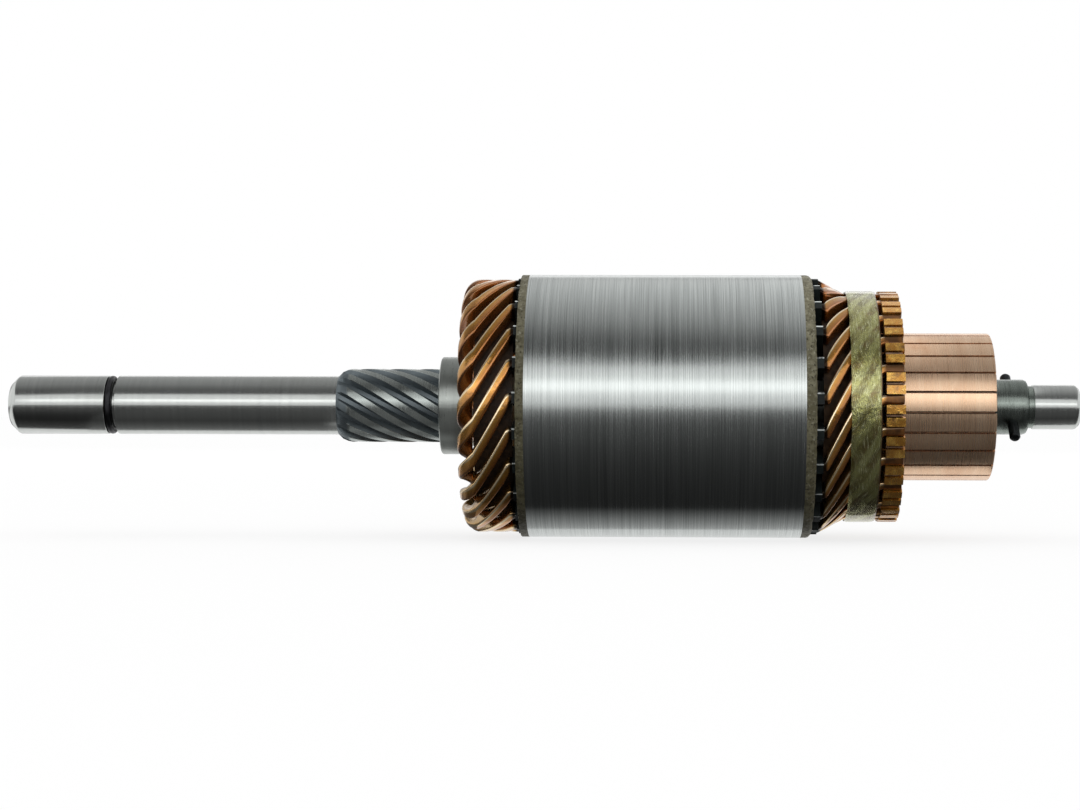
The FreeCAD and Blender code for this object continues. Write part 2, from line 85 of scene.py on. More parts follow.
def math_node(tree, operation, *values, clamp=False):
    made = node(tree, "ShaderNodeMath", operation=operation, use_clamp=clamp)
    for socket, value in zip(made.inputs, values):
        link_or_set(tree, socket, value)
    return made.outputs[0]


def times(tree, first, second, **settings):
    return math_node(tree, "MULTIPLY", first, second, **settings)


def times_plus(tree, first, second, added, **settings):
    return math_node(tree, "MULTIPLY_ADD", first, second, added, **settings)


def map_range(tree, value, start, end, low=0.0, high=1.0, **settings):
    """the value's way from start to end, as low to high"""
    inputs = {0: value, 1: start, 2: end, 3: low, 4: high}
    return node(tree, "ShaderNodeMapRange", inputs, **settings).outputs[0]


def fade(tree, place, start, end, low=0.0, high=1.0):
    """low to high as a place or radius goes from start to end, in millimetres"""
    return map_range(tree, place, start * MM, end * MM, low, high)


def places(tree):
    """x, y and z of the shaded point, in metres from the middle of the core"""
    spot = node(tree, "ShaderNodeTexCoord").outputs["Object"]
    return node(tree, "ShaderNodeSeparateXYZ", {0: spot}).outputs


def empty_material(name):
    material = bpy.data.materials.new(name)
    material.use_nodes = True
    material.node_tree.nodes.clear()
    return material, material.node_tree


def seen_directly(tree):
    """1 for camera, glossy and transmission rays"""
    path = node(tree, "ShaderNodeLightPath").outputs
    both = math_node(tree, "MAXIMUM", path["Is Camera Ray"], path["Is Glossy Ray"])
    return math_node(tree, "MAXIMUM", both, path["Is Transmission Ray"])


def white_surroundings():
    world = bpy.data.worlds.new("studio")
    world.use_nodes = True
    tree = world.node_tree
    tree.nodes.clear()
    way = node(tree, "ShaderNodeSeparateXYZ", {0: node(tree, "ShaderNodeTexCoord").outputs["Generated"]})
    level = map_range(tree, way.outputs[2], -0.1, 0.9, 0.15, 1.4)
    ambient, shown = (
        node(tree, "ShaderNodeBackground", {"Color": (1, 1, 1, 1), "Strength": strength}).outputs[0]
        for strength in (level, 1.0)
    )
    mix = node(tree, "ShaderNodeMixShader", {0: seen_directly(tree), 1: ambient, 2: shown})
    node(tree, "ShaderNodeOutputWorld", {"Surface": mix.outputs[0]})
    bpy.context.scene.world = world


def stage_plane(name, corners, material):
    mesh = bpy.data.meshes.new(name)
    mesh.from_pydata([Vector(corner) * MM for corner in corners], [], [range(len(corners))])
    mesh.materials.append(material)
    made = bpy.data.objects.new(name, mesh)
    bpy.context.scene.collection.objects.link(made)
    return made


def table_material():
    """pale board: it takes the shadow, is lifted to white where it is seen, and throws little light up"""
    material, tree = empty_material("table_board")
    shade = times_plus(tree, seen_directly(tree), 0.74, 0.12)
    paint = node(tree, "ShaderNodeCombineColor", {0: shade, 1: shade, 2: shade})
    board = node(tree, "ShaderNodeBsdfDiffuse", {"Color": paint.outputs[0]})
    glow = node(tree, "ShaderNodeEmission", {"Color": (1, 1, 1, 1), "Strength": 1.0})
    lift = times(tree, seen_directly(tree), 0.8)
    mix = node(tree, "ShaderNodeMixShader", {0: lift, 1: board.outputs[0], 2: glow.outputs[0]})
    node(tree, "ShaderNodeOutputMaterial", {"Surface": mix.outputs[0]})
    return material


def card_material(name, shades):
    """a glow that changes from front to back; shades are (place along Y in millimetres, level)"""
    material, tree = empty_material(name)
    front, back = shades[0][0], shades[-1][0]
    ramp = node(tree, "ShaderNodeValToRGB", {0: fade(tree, places(tree)[1], front, back)})
    stops = ramp.color_ramp.elements
    while len(stops) < len(shades):
        stops.new(0.5)
    for stop, (y, level) in zip(stops, shades):
        stop.position = (y - front) / (back - front)
        stop.color = (level, level, level, 1)
    glow = node(tree, "ShaderNodeEmission", {"Color": ramp.outputs[0], "Strength": 1.0})
    node(tree, "ShaderNodeOutputMaterial", {"Surface": glow.outputs[0]})
    return material


def reflected_card(name, corners, shades):
    """a studio card that only reflections see"""
    card = stage_plane(name, corners, card_material(name + "_paint", shades))
    card.visible_camera = False
    card.visible_diffuse = False
    card.visible_shadow = False
    card.visible_transmission = False


def softbox(name, place, width, height, power):
    """a strip light aimed at the middle of the core"""
    light = bpy.data.lights.new(name, "AREA")
    light.shape = "RECTANGLE"
    light.size = width
    light.size_y = height
    light.energy = power
    made = bpy.data.objects.new(name, light)
    made.location = place
    made.rotation_mode = "QUATERNION"
    made.rotation_quaternion = (-Vector(place)).to_track_quat("-Z", "Y")
    bpy.context.scene.collection.objects.link(made)


white_surroundings()
TABLE = 6000
TABLE_TOP = -39.1
LOW_CARD = -38.9
LEVEL = (LOW_CARD, LOW_CARD)
TILTED = (900, 1000)
table_corners = ((-TABLE, -TABLE), (TABLE, -TABLE), (TABLE, TABLE), (-TABLE, TABLE))
stage_plane("table", [(x, y, TABLE_TOP) for x, y in table_corners], table_material())
UNDER_CORE = [(-2500, 0.14), (-300, 0.11), (-100, 0.07), (-45, 0.03), (-22, 0.018), (8, 0.075)]
UNDER_CORE_EDGE = [(-24, 0.03), (-20.5, 0.14), (-16.5, 0.30), (-12, 0.5)]
UNDER_SHAFT = [
    (-2500, 0.14), (-300, 0.12), (-75, 0.085), (-40, 0.075), (-21, 0.05), (-6, 0.11), (8, 0.18), (16, 0.35),
]
UNDER_SPLINE = [
    (-2500, 0.16), (-300, 0.20), (-75, 0.21), (-40, 0.17), (-23, 0.11), (-17, 0.26), (-12, 0.42), (-6, 0.2),
    (8, 0.25), (16, 0.4),
]
UNDER_COMMUTATOR = [
    (-2500, 0.14), (-300, 0.11), (-115, 0.09), (-70, 0.06), (-48, 0.12), (-34, 0.075), (-23, 0.045),
    (-5, 0.03),
]
OVER_SHAFT = [(-980, 0.08), (-400, 0.12), (0, 0.27), (500, 0.37), (1500, 0.5)]
OVER_CORE = [
    (-1290, 0.10), (-980, 0.05), (-600, 0.09), (-400, 0.19), (-200, 0.33), (0, 0.44), (300, 0.62),
    (700, 0.74), (1500, 0.74),
]
OVER_COMMUTATOR = [(-980, 0.08), (-600, 0.22), (-400, 0.5), (0, 0.9), (500, 1.1), (1500, 1.1)]
OVER_END = [(-980, 0.08), (-400, 0.18), (0, 0.34), (500, 0.48), (1500, 0.6)]
for name, left, right, front, back, (low, high), shades in (
    ("low_end_card", 140, 900, -2500, 8, LEVEL, UNDER_SHAFT[:-1]),
    ("low_journal_card", 104, 140, -2500, 8, LEVEL, UNDER_SHAFT[:-1]),
    ("low_commutator_card", 50, 104, -2500, -5, LEVEL, UNDER_COMMUTATOR),
    ("low_core_card", -56, 50, -2500, -24, LEVEL, UNDER_CORE),
    ("low_core_edge_card", -56, 50, -24, -12, LEVEL, UNDER_CORE_EDGE),
    ("low_collar_card", -68, -56, -2500, 16, LEVEL, UNDER_SHAFT),
    ("low_spline_card", -104, -68, -2500, 16, LEVEL, UNDER_SPLINE),
    ("low_drive_card", -182, -104, -2500, 16, LEVEL, UNDER_SHAFT),
    ("low_tip_card", -900, -182, -2500, 12, LEVEL, UNDER_CORE),
    ("low_back_card", -900, 900, 150, 2500, LEVEL, [(150, 0.10), (2500, 0.2)]),
    ("high_drive_card", -1500, -130, -980, 1500, TILTED, OVER_SHAFT),
    ("high_core_card", -130, 115, -1290, 1500, TILTED, OVER_CORE),
    ("high_commutator_card", 115, 260, -980, 1500, TILTED, OVER_COMMUTATOR),
    ("high_end_card", 260, 1500, -980, 1500, TILTED, OVER_END),
    ("back_card", -1500, 1500, 1400, 1405, (30, 1000), [(1400, 0.5), (1405, 0.55)]),
):
    corners = [(left, front, low), (right, front, low), (right, back, high), (left, back, high)]
    reflected_card(name, corners, shades)
softbox("key_softbox", (-0.05, -1.25, 0.378), 2.4, 0.2, 1.6)
softbox("back_softbox", (0.05, 1.25, 0.46), 2.4, 0.3, 1.5)

# Shaft
# One piece turned from bar steel, its journals ground, the helical spline cut into a thicker part.
# The end behind the commutator is left as turned. The profile lists places and radii by the finish
# of the face that ends there.
SHAFT_PROFILE = [
    ("end", (-192.7, 0.0), (-192.7, 0.6), (-195.5, 2.0), (-195.5, 6.0)),
    ("ground", (-195.35, 6.35), (-193.4, 8.35), (-192.7, 8.7), (-166.5, 8.7), (-166.4, 8.6), (-166.4, 6.75),
     (-163.3, 6.75), (-163.3, 8.6), (-163.2, 8.7), (-97.3, 8.7)),
    ("cut", (-97.2, 8.8), (-96.0, 10.0), (-94.6, 10.6), (-93.3, 10.9), (-66.4, 10.9)),
    ("satin", (-66.4, 14.0), (-66.15, 14.38), (-65.8, 14.5), (-58.1, 14.5), (-58.0, 14.4), (-58.0, 12.0),
     (62.9, 12.0), (62.9, 10.0), (96.4, 10.0)),
    ("dark", (96.4, 8.15), (105.9, 8.15), (106.8, 7.8), (107.15, 7.15), (107.15, 6.25), (108.75, 6.25)),
    ("ground", (108.75, 6.35), (108.95, 6.55), (121.0, 6.55), (121.6, 6.35), (122.4, 5.5)),
    ("end", (122.6, 5.0), (122.6, 2.0), (119.6, 0.6), (119.6, 0.0)),
]
SPLINE_START = -97.3
SPLINE_END = -66.4
SPLINE_RADIUS = 10.9
SPLINE_TEETH = 12
SPLINE_LEAD = 107.0
SPLINE_MIDDLE = -100.24
SPLINE_PHASE = -math.pi / 2
TWIST_STEP = 0.55
GROOVE_FLOOR = 9.1
GROOVE_FLOOR_HALF = 1.4
GROOVE_MOUTH = 11.4
GROOVE_MOUTH_HALF = 2.9
TOOTH_SAMPLES = (-4.4, -3.6, -2.9, -2.62, -2.5, -1.5, -1.28, -0.7, 0.0, 0.7, 1.28, 1.5, 2.5, 2.62, 2.9, 3.6)


def link_mesh(name, points, faces, crease=32):
    """a mesh object from points in millimetres, smooth except across edges sharper than the crease angle"""
    mesh = bpy.data.meshes.new(name)
    mesh.from_pydata([Vector(point) * MM for point in points], [], faces)
    mesh.shade_smooth()
    mesh.set_sharp_from_angle(angle=math.radians(crease))
    mesh.update()
    made = bpy.data.objects.new(name, mesh)
    bpy.context.scene.collection.objects.link(made)
    return made


def ring_point(x, radius, angle):
    """angle zero faces the viewer, and grows downwards"""
    return (x, -radius * math.cos(angle), -radius * math.sin(angle))


def skin(rings, closed=False):
    """quads between rings of equal length; a single point stands for a ring at a pole"""
    points = []
    starts = []
    for ring in rings:
        starts.append(len(points))
        points += ring
    faces = []
    bands = []
    pairs = list(zip(range(len(rings)), range(1, len(rings))))
    if closed:
        pairs.append((len(rings) - 1, 0))
    for band, (near, far) in enumerate(pairs):
        count = max(len(rings[near]), len(rings[far]))
        for i in range(count):
            j = (i + 1) % count
            a, b = starts[near] + i, starts[near] + j
            c, d = starts[far] + j, starts[far] + i
            if len(rings[near]) == 1:
                faces.append((starts[near], c, d))
            elif len(rings[far]) == 1:
                faces.append((a, b, starts[far]))
            else:
                faces.append((a, b, c, d))
            bands.append(band)
    return points, faces, bands


def groove_radius(across):
    """radius of the cut groove at an axial distance from its middle"""
    across = abs(across)
    if across < GROOVE_FLOOR_HALF:
        return GROOVE_FLOOR
    rise = (across - GROOVE_FLOOR_HALF) * (GROOVE_MOUTH - GROOVE_FLOOR)
    return GROOVE_FLOOR + rise / (GROOVE_MOUTH_HALF - GROOVE_FLOOR_HALF)


def shaft_stations():
    """profile points, with the spline's length divided so that its teeth can twist"""
    profile = [(x, r, kind) for kind, *spots in SHAFT_PROFILE for x, r in spots]
    stations = []
    for (x, r, kind), following in zip(profile, profile[1:] + [None]):
        stations.append((x, r, kind))
        if not following:
            break
        next_x, next_r, next_kind = following
        if SPLINE_START <= x and next_x <= SPLINE_END and next_x - x > 1:
            steps = int((next_x - x) / TWIST_STEP)
            for share in (step / steps for step in range(1, steps)):
                stations.append((x + (next_x - x) * share, r + (next_r - r) * share, next_kind))
    return stations


def shaft_piece(materials):
    axial_pitch = SPLINE_LEAD / SPLINE_TEETH
    rings = []
    kinds = []
    for x, r, kind in shaft_stations():
        kinds.append(kind)
        if r == 0:
            rings.append([(x, 0, 0)])
            continue
        held = min(max(x, SPLINE_START), SPLINE_END)
        twist = 2 * math.pi * (held - SPLINE_MIDDLE) / SPLINE_LEAD
        splined = x == held and r <= SPLINE_RADIUS
        ring = []
        for tooth in range(SPLINE_TEETH):
            for across in TOOTH_SAMPLES:
                angle = twist + SPLINE_PHASE + 2 * math.pi * (tooth + across / axial_pitch) / SPLINE_TEETH
                ring.append(ring_point(x, min(r, groove_radius(across)) if splined else r, angle))
        rings.append(ring)
    points, faces, bands = skin(rings)
    made = link_mesh("shaft_turned", points, faces)
    order = list(materials)
    for kind in order:
        made.data.materials.append(materials[kind])
    made.data.polygons.foreach_set("material_index", [order.index(kinds[band + 1]) for band in bands])
    return made


def new_material(name, **constants):
    """a material with one surface shader, whose even values are set on its own sockets"""
    material = bpy.data.materials.new(name)
    material.use_nodes = True
    surface = material.node_tree.nodes["Principled BSDF"]
    for key, value in constants.items():
        surface.inputs[key.replace("_", " ")].default_value = value
    return material, material.node_tree, surface


def new_group(name, inputs, outputs):
    """a shader node group with plain number inputs and outputs, and a vector called Place"""
    group = bpy.data.node_groups.new(name, "ShaderNodeTree")
    group.interface.new_socket("Place", in_out="INPUT", socket_type="NodeSocketVector")
    for key, value in inputs.items():
        socket = group.interface.new_socket(key, in_out="INPUT", socket_type="NodeSocketFloat")
        socket.default_value = value
    for key in outputs:
        group.interface.new_socket(key, in_out="OUTPUT", socket_type="NodeSocketFloat")
    return group, node(group, "NodeGroupInput").outputs, node(group, "NodeGroupOutput").inputs


def seeded_noise(tree, place, seed, scale, detail, roughness):
    inputs = {"Vector": place, "W": seed, "Scale": scale, "Detail": detail, "Roughness": roughness}
    return node(tree, "ShaderNodeTexNoise", inputs, noise_dimensions="4D").outputs[0]


def turned_marks_group():
    """fine lines left by a lathe or grinder, round the shaft axis; densities are lines to the metre"""
    group, inner, outer = new_group(
        "turned_marks", {"Density": 2500.0, "Reach": 60.0, "Seed": 0.0}, ["Fine", "Broad"])
    parts = node(group, "ShaderNodeSeparateXYZ", {0: inner["Place"]}).outputs
    along = times(group, parts[0], inner["Density"])
    across = times(group, parts[1], inner["Reach"])
    up = times(group, parts[2], inner["Reach"])
    streak = node(group, "ShaderNodeCombineXYZ", {0: along, 1: across, 2: up}).outputs[0]
    slow = {0: times(group, along, 0.13), 1: times(group, across, 0.4), 2: times(group, up, 0.4)}
    wide = node(group, "ShaderNodeCombineXYZ", slow).outputs[0]
    group.links.new(seeded_noise(group, streak, inner["Seed"], 1.0, 3.0, 0.62), outer["Fine"])
    group.links.new(seeded_noise(group, wide, inner["Seed"], 1.0, 2.0, 0.5), outer["Broad"])
    return group


def stains_group():
    """soft blotches of oil, handling and oxide, at a size to the metre"""
    inputs = {"Scale": 60.0, "Low": 0.45, "High": 0.7, "Seed": 0.0}
    group, inner, outer = new_group("stains", inputs, ["Mask"])
    blot = seeded_noise(group, inner["Place"], inner["Seed"], inner["Scale"], 5.0, 0.6)
    shaped = map_range(group, blot, inner["Low"], inner["High"], interpolation_type="SMOOTHSTEP")
    group.links.new(shaped, outer["Mask"])
    return group


turned_marks = turned_marks_group()
stains = stains_group()


def use_group(tree, group, inputs, place=None):
    made = node(tree, "ShaderNodeGroup", node_tree=group)
    tree.links.new(place or node(tree, "ShaderNodeTexCoord").outputs["Object"], made.inputs["Place"])
    for key, value in inputs.items():
        made.inputs[key].default_value = value
    return made.outputs


def line_marks(tree, density, reach, seed, place=None):
    return use_group(tree, turned_marks, {"Density": density, "Reach": reach, "Seed": seed}, place)


def stain_mask(tree, scale, low, high, seed):
    return use_group(tree, stains, {"Scale": scale, "Low": low, "High": high, "Seed": seed})["Mask"]


def blend_colours(tree, share, first, second):
    mix = node(tree, "ShaderNodeMix", {0: share}, data_type="RGBA")
    for socket, value in ((mix.inputs[6], first), (mix.inputs[7], second)):
        link_or_set(tree, socket, (*value, 1.0) if isinstance(value, tuple) else value)
    return mix.outputs[2]


def lay_over(tree, colour, *layers):
    """lays colours over the first one in turn; each layer is its share and its colour"""
    for share, over in layers:
        colour = blend_colours(tree, share, colour, over)
    return colour


def spread(tree, value, low, high):
    """maps 0.3 to 0.7, where noise mostly lies, to a range"""
    return map_range(tree, value, 0.3, 0.7, low, high)


def finish_surface(tree, surface, colour, roughness, height, depth):
    """links the colour and the roughness, and a relief as deep as depth in metres"""
    tree.links.new(colour, surface.inputs["Base Color"])
    tree.links.new(roughness, surface.inputs["Roughness"])
    bump = node(tree, "ShaderNodeBump", {"Height": height, "Distance": depth, "Strength": 1.0})
    tree.links.new(bump.outputs[0], surface.inputs["Normal"])


def turned_metal(
    name, bright, dull, roughness, density, reach, depth, seed, stain, stain_range, stain_scale=60.0,
    broad=0.4, sunk=None,
):
    """metal with turning lines in its tone, roughness and relief, stains over them, and sunk parts darker as
    painted shade with dark oxide
    """
    material, tree, surface = new_material(name, Metallic=1.0)
    marks = line_marks(tree, density, reach, seed)
    blots = stain_mask(tree, stain_scale, *stain_range, seed + 3.0)
    fine = times(tree, marks["Fine"], 1 - broad)
    both = times_plus(tree, marks["Broad"], broad, fine)
    colour = blend_colours(tree, spread(tree, both, 0.0, 1.0), dull, bright)
    colour = blend_colours(tree, blots, colour, stain)
    gloss = times_plus(tree, blots, 0.12, spread(tree, marks["Fine"], *roughness))
    # sunk parts, the spline grooves, take the stain colour and more roughness: painted shade of the grooves
    # together with their dark oxide
    if sunk:
        parts = places(tree)
        spoke = node(tree, "ShaderNodeCombineXYZ", {1: parts[1], 2: parts[2]}).outputs[0]
        radius = node(tree, "ShaderNodeVectorMath", {0: spoke}, operation="LENGTH").outputs["Value"]
        raised = fade(tree, radius, *sunk)
        colour = blend_colours(tree, raised, stain, colour)
        gloss = times_plus(tree, math_node(tree, "SUBTRACT", 1.0, raised), 0.25, gloss)
    finish_surface(tree, surface, colour, gloss, marks["Fine"], depth)
    return material


shaft_materials = {
    "end": turned_metal(
        "faced_steel", (0.50, 0.52, 0.52), (0.34, 0.36, 0.36), roughness=(0.3, 0.42),
        density=1500.0, reach=300.0, depth=0.00001, seed=2.0,
        stain=(0.25, 0.26, 0.25), stain_range=(0.5, 0.8)),
    "ground": turned_metal(
        "ground_steel", (0.60, 0.62, 0.60), (0.49, 0.51, 0.495), roughness=(0.15, 0.24),
        density=4200.0, reach=40.0, depth=0.000004, seed=1.0,
        stain=(0.40, 0.41, 0.385), stain_range=(0.55, 0.9), stain_scale=35.0),
    # the spline's stain colour also paints its grooves darker, as painted shade with dark oxide
    "cut": turned_metal(
        "spline_steel", (0.43, 0.465, 0.445), (0.31, 0.34, 0.33), roughness=(0.2, 0.3),
        density=1800.0, reach=110.0, depth=0.000004, seed=3.0,
        stain=(0.18, 0.21, 0.225), stain_range=(0.62, 0.95), stain_scale=220.0, sunk=(10.7, 10.89)),
    "satin": turned_metal(
        "turned_steel", (0.42, 0.445, 0.42), (0.31, 0.33, 0.31), roughness=(0.26, 0.36),
        density=2400.0, reach=160.0, depth=0.00001, seed=4.0,
        stain=(0.20, 0.21, 0.19), stain_range=(0.5, 0.8), stain_scale=120.0),
    "dark": turned_metal(
        "oiled_steel", (0.31, 0.35, 0.32), (0.18, 0.205, 0.185), roughness=(0.2, 0.3),
        density=3000.0, reach=220.0, depth=0.00001, seed=5.0,
        stain=(0.07, 0.08, 0.07), stain_range=(0.5, 0.8), stain_scale=140.0),
}
shaft = shaft_piece(shaft_materials)
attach(shaft, "root")
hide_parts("shaft")

# Stop ring
# Spring wire bent to an open ring and snapped into the groove near the tip of the shaft.
# It is blackened, and stands flush with the shaft.
WIRE = 1.9
RING_MIDDLE = 7.75
RING_PLACE = -165.4
RING_OPENING = math.radians(16)


def wire_ring():
    rings = []
    steps = 160
    corners = 20
    for step in range(steps + 1):
        angle = math.pi + RING_OPENING / 2 + (2 * math.pi - RING_OPENING) * step / steps
        ring = []
        for corner in range(corners):
            turn = 2 * math.pi * corner / corners
            across = WIRE / 2 * math.cos(turn)
            radius = RING_MIDDLE + WIRE / 2 * math.sin(turn)
            ring.append(ring_point(RING_PLACE + across, radius, angle))
        rings.append(ring)
    ends = [[tuple(sum(c) / corners for c in zip(*ring))] for ring in (rings[0], rings[-1])]
    points, faces, _ = skin([ends[0]] + rings + [ends[1]])
    return link_mesh("stop_ring_wire", points, faces)


def black_metal(name, colour, roughness, seed):
    material, tree, surface = new_material(name, Metallic=0.85)
    blots = stain_mask(tree, 350.0, 0.4, 0.75, seed)
    shade = blend_colours(tree, blots, colour, tuple(3 * part for part in colour))
    finish_surface(tree, surface, shade, times_plus(tree, blots, 0.2, roughness), blots, 0.00002)
    return material


stop_ring = wire_ring()
stop_ring.data.materials.append(black_metal("black_spring_steel", (0.022, 0.022, 0.024), 0.3, 6.0))
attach(stop_ring, "root")
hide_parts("stop_ring")

# Cross pin
# A short hardened pin driven through the shaft behind the commutator. It is black, with rounded ends.
# Its end is given by distances from the tip and radii.
PIN_RADIUS = 1.6
PIN_HALF = 14.5
PIN_PLACE = 102.4
PIN_ANGLE = math.radians(39.5)
PIN_WAY = (-math.sin(PIN_ANGLE + math.pi / 2), math.cos(PIN_ANGLE + math.pi / 2))
PIN_END = [(0, 0.0), (0, 0.7), (0.25, 1.25), (0.8, PIN_RADIUS)]


def round_pin():
    profile = [(distance - PIN_HALF, radius) for distance, radius in PIN_END]
    profile += [(-along, radius) for along, radius in reversed(profile)]
    corners = 48
    rings = []
    for along, radius in profile:
        ring = []
        for corner in range(corners if radius else 1):
            turn = 2 * math.pi * corner / corners
            side = radius * math.sin(turn)
            y = along * PIN_WAY[0] + side * PIN_WAY[1]
            z = along * PIN_WAY[1] - side * PIN_WAY[0]
            ring.append((PIN_PLACE + radius * math.cos(turn), y, z))
        rings.append(ring)
    points, faces, _ = skin(rings)
    return link_mesh("cross_pin_black", points, faces)


cross_pin = round_pin()
cross_pin.data.materials.append(black_metal("black_oxide_pin", (0.015, 0.017, 0.018), 0.28, 8.0))
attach(cross_pin, "root")
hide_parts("cross_pin")

# Lamination stack and end discs
# Thin steel sheets stamped with closed slots, pressed on the shaft and turned true as a stack,
# with a disc of vulcanised fibre at each face, stamped with the same slots.
SLOTS = 23
SLOT_PITCH = 2 * math.pi / SLOTS
FIRST_SLOT = math.radians(-3.5)
CORE_RADIUS = 39.0
CORE_HALF = 40.05
SEAT_RADIUS = 12.02
SLOT_TOP = 38.0
SLOT_LOW = 27.7
SLOT_HALF = 1.7
DRIVE_DISC = [(-42.45, 38.85), (-42.25, 39.0), (-40.05, 39.0)]
END_DISC = [(40.05, 39.0), (41.8, 39.0), (42.3, 38.85), (42.8, 38.4), (43.05, 38.1)]


def worn_rim(stations, angles, wobble):
    """rings of the rim; wobble is how far its two edges wander inwards, in millimetres"""
    ends = (stations[0][0], stations[-1][0])
    rim = []
    for x, radius in stations:
        ring = []
        for angle in angles:
            wear_and_lit_side = wobble * abs(noise.noise(Vector((x, 14 * math.cos(angle), 14 * math.sin(angle)))))
            inwards = 0 if x not in ends else wear_and_lit_side if x < 0 else -wear_and_lit_side
            ring.append(ring_point(x + inwards, radius - 0.6 * wear_and_lit_side, angle))
        rim.append(ring)
    return rim


def slotted_piece(name, stations, rim_steps=12, wobble=0.0):
    """a disc or stack with closed slots; stations are (x, rim radius) from one face to the other"""
    count = rim_steps * SLOTS
    angles = [FIRST_SLOT - SLOT_PITCH / 2 + SLOT_PITCH * step / rim_steps for step in range(count)]
    points, faces, _ = skin(worn_rim(stations, angles, wobble))
    ends = (stations[0][0], stations[-1][0])
    bore = len(points)
    for x in ends:
        for slot in range(SLOTS):
            points.append(ring_point(x, SEAT_RADIUS, FIRST_SLOT + SLOT_PITCH * (slot - 0.5)))
    for slot in range(SLOTS):
        following = (slot + 1) % SLOTS
        faces.append((bore + slot, bore + SLOTS + slot, bore + SLOTS + following, bore + following))
    windows = len(points)
    corners = ((-SLOT_HALF, SLOT_TOP), (SLOT_HALF, SLOT_TOP), (SLOT_HALF, SLOT_LOW), (-SLOT_HALF, SLOT_LOW))
    for slot in range(SLOTS):
        middle = FIRST_SLOT + SLOT_PITCH * slot
        for x in ends:
            for side, height in corners:
                y = -height * math.cos(middle) + side * math.sin(middle)
                z = -height * math.sin(middle) - side * math.cos(middle)
                points.append((x, y, z))
        low = windows + 8 * slot
        for edge in range(4):
            beyond = (edge + 1) % 4
            faces.append((low + edge, low + beyond, low + 4 + beyond, low + 4 + edge))
    half = rim_steps // 2
    for end, rim_start in enumerate((0, count * (len(stations) - 1))):
        seat = bore + SLOTS * end
        for slot in range(SLOTS):
            following = (slot + 1) % SLOTS
            low = windows + 8 * slot + 4 * end
            arc = [rim_start + (slot * rim_steps + step) % count for step in range(rim_steps + 1)]
            for part in (
                arc[:half + 1] + [low, low + 3, seat + slot],
                arc[half:] + [seat + following, low + 2, low + 1],
                [arc[half], low + 1, low],
                [low + 3, low + 2, seat + following, seat + slot],
            ):
                faces.append(tuple(part[::-1] if end else part))
    return link_mesh(name, points, faces)


core = slotted_piece("core_turned", [(-CORE_HALF, CORE_RADIUS), (CORE_HALF, CORE_RADIUS)])
core.data.materials.append(turned_metal(
    "core_steel", (0.70, 0.735, 0.72), (0.36, 0.385, 0.375), roughness=(0.16, 0.28),
    density=3800.0, reach=22.0, depth=0.000007, seed=10.0,
    stain=(0.50, 0.525, 0.51), stain_range=(0.6, 0.95), stain_scale=20.0, broad=0.15))
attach(core, "root")
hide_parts("lamination_stack")


def fibre_material():
    """grey-brown fibre board, mottled, with specks and short fibres, and oiled darker at the drive end"""
    material, tree, surface = new_material("vulcanised_fibre", Specular_IOR_Level=0.35)
    coarse = stain_mask(tree, 420.0, 0.38, 0.62, 20.0)
    specks = stain_mask(tree, 1500.0, 0.54, 0.66, 21.0)
    pale = stain_mask(tree, 1200.0, 0.54, 0.68, 22.0)
    oiled = fade(tree, places(tree)[0], 40.0, -40.0, 0.0, 0.38)
    colour = blend_colours(tree, coarse, (0.125, 0.112, 0.06), (0.215, 0.20, 0.125))
    colour = lay_over(
        tree, colour,
        (pale, (0.36, 0.345, 0.26)),
        (specks, (0.05, 0.042, 0.024)),
        (oiled, (0.045, 0.04, 0.015)),
    )
    gloss = times_plus(tree, specks, 0.2, 0.5)
    finish_surface(tree, surface, colour, gloss, math_node(tree, "ADD", coarse, specks), 0.00012)
    return material


fibre = fibre_material()
for solid, disc in (
    ("drive_end_disc", slotted_piece("drive_fibre_disc", DRIVE_DISC, 24, 0.35)),
    ("commutator_end_disc", slotted_piece("commutator_fibre_disc", END_DISC, 24, 0.3)),
):
    disc.data.materials.append(fibre)
    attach(disc, "root")
    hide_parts(solid)

# Hairpin winding
# Copper bars under amber enamel, each bent at the drive end into a half turn from the outer layer
# to the inner one, pushed through two slots and bent again to two risers of the commutator.
BAR_WIDTH = 2.6
BAR_HEIGHT = 4.4
BAR_CORNER = 0.7
BAR_END_CORNER = 0.4
CORNER_STEPS = 5
OUTER_BAR = 35.4
INNER_BAR = 30.3
COIL_SPAN = 5 * SLOT_PITCH
RISER_LEAD = 3 * SLOT_PITCH
SLOT_BEND = 1.4
RISER_BEND = 3.0
DROP = 4.0
DROP_LENGTH = 7.5
DRIVE_BEND = 43.5
END_BEND = 45.2
NOSE_START = 54.55
NOSE_RADIUS = 2.55
DRIVE_LENGTH = NOSE_START - DRIVE_BEND
DRIVE_PATH = DRIVE_LENGTH + math.pi * NOSE_RADIUS / 2
RISER_START = 62.9
RISER_END = 68.3
END_PLAY = 0.35
END_ROUNDING = 0.25
END_BULGE = 0.12


def turn_profile(distance, total, bend, end_bend):
    """share of the whole turn, and its rate, after a distance"""
    steady = 1 / (total - bend / 2 - end_bend / 2)
    if distance < bend:
        return steady * distance ** 2 / (2 * bend), steady * distance / bend
    if distance > total - end_bend:
        left = total - distance
        return 1 - steady * left ** 2 / (2 * end_bend), steady * left / end_bend
    return steady * (distance - bend / 2), steady


def commutator_arm(radius, slot_angle, turn):
    """stations of the bar: x, radius, angle, its way along and outwards, and its turn to the millimetre"""
    total = RISER_START - END_BEND
    arm = []
    steps = 26
    for step in range(steps + 1):
        distance = total * step / steps
        share, rate = turn_profile(distance, total, SLOT_BEND, RISER_BEND)
        drop = DROP * min(distance / DROP_LENGTH, 1)
        arm.append((END_BEND + distance, radius - drop, slot_angle + turn * share, 1, 0, turn * rate))
    arm.append((RISER_END - END_PLAY, radius - DROP, slot_angle + turn, 1, 0, 0))
    return arm


